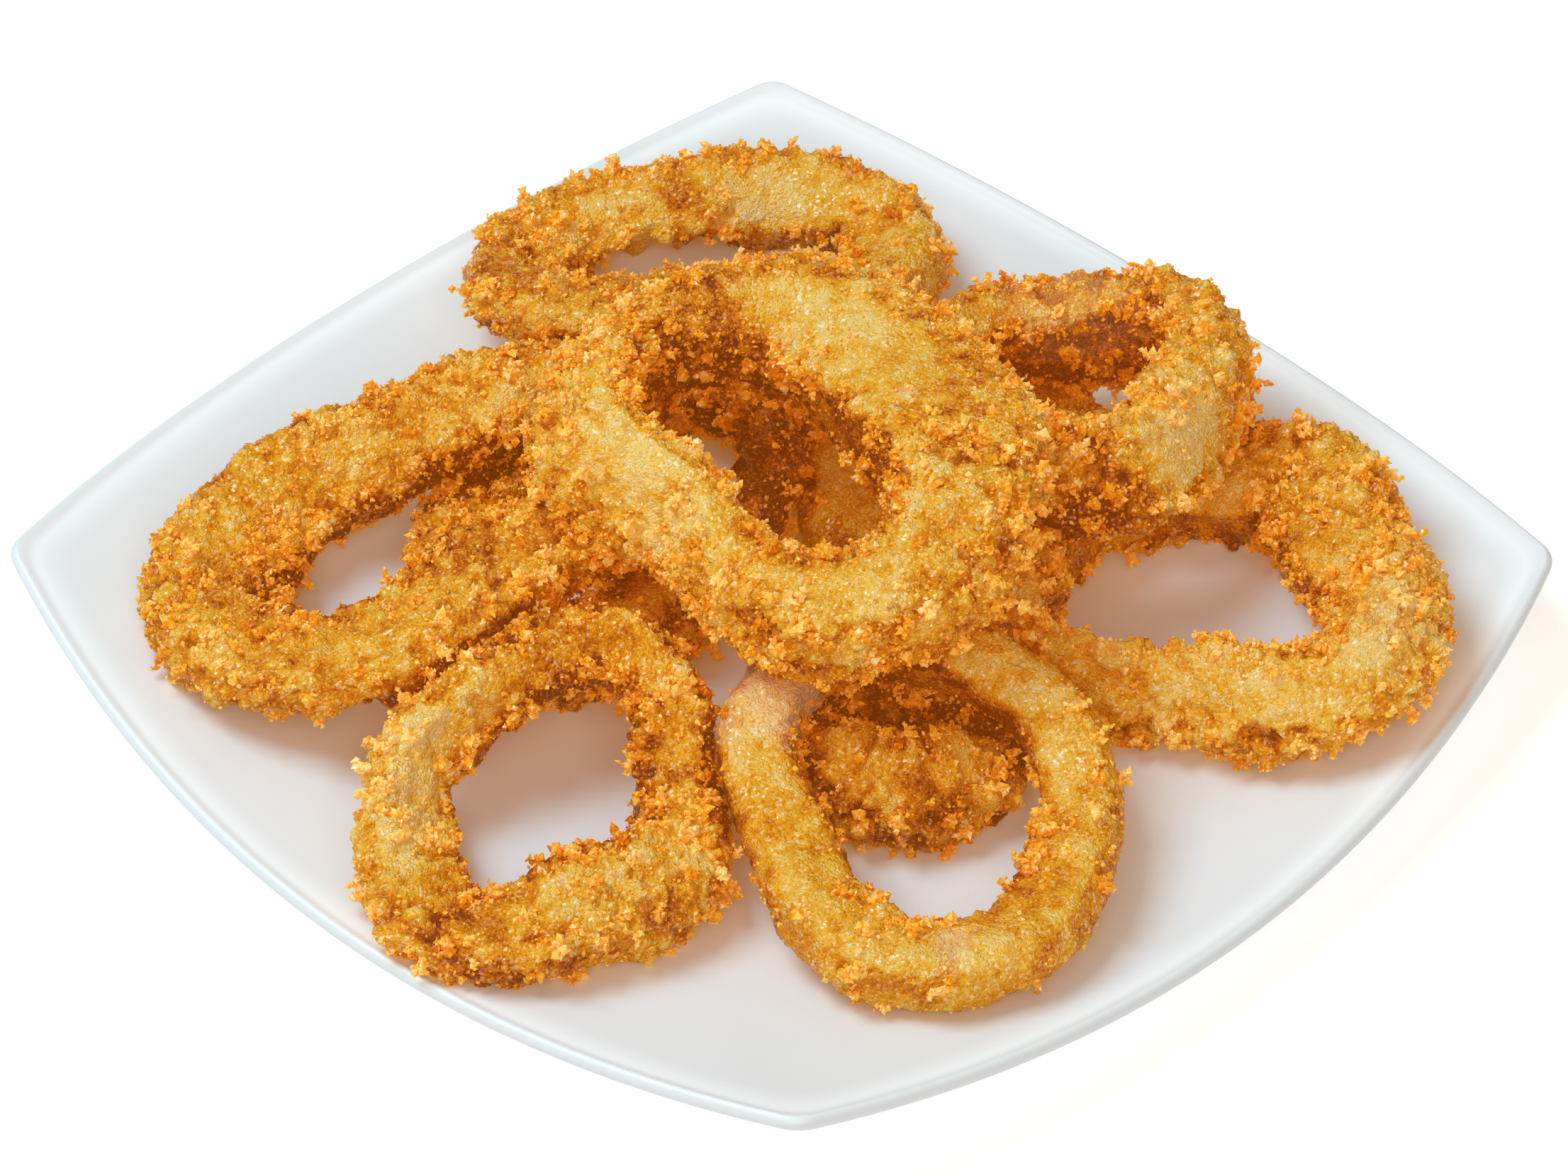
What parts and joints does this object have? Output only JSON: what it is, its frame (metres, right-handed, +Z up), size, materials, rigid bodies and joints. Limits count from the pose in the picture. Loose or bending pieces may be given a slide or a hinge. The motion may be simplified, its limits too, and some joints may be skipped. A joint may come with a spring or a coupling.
{
  "type": "onion rings side",
  "caption": "Crumbed fried onion rings of uneven size, heaped loosely on a shallow square white plate with bowed sides and raised corners.",
  "frame": {"origin": "middle of the plate's foot, on the table", "axes": "+Z up out of the plate, +X and +Y through the middles of two sides; the corner between +X and -Y is the front"},
  "size_m": [0.241, 0.241, 0.0639],
  "materials": {
    "china": "glossy white glaze",
    "golden_crumb": "fried bread-crumb coat, rough and slightly oily"
  },
  "bodies": {
    "root": {"plate": "china", "back_left_ring": "golden_crumb", "top_ring": "golden_crumb", "left_long_ring": "golden_crumb", "back_right_ring": "golden_crumb", "right_ring": "golden_crumb", "front_left_ring": "golden_crumb", "front_right_ring": "golden_crumb", "small_front_ring": "golden_crumb", "low_left_ring": "golden_crumb", "low_right_ring": "golden_crumb"}
  },
  "joints": []
}
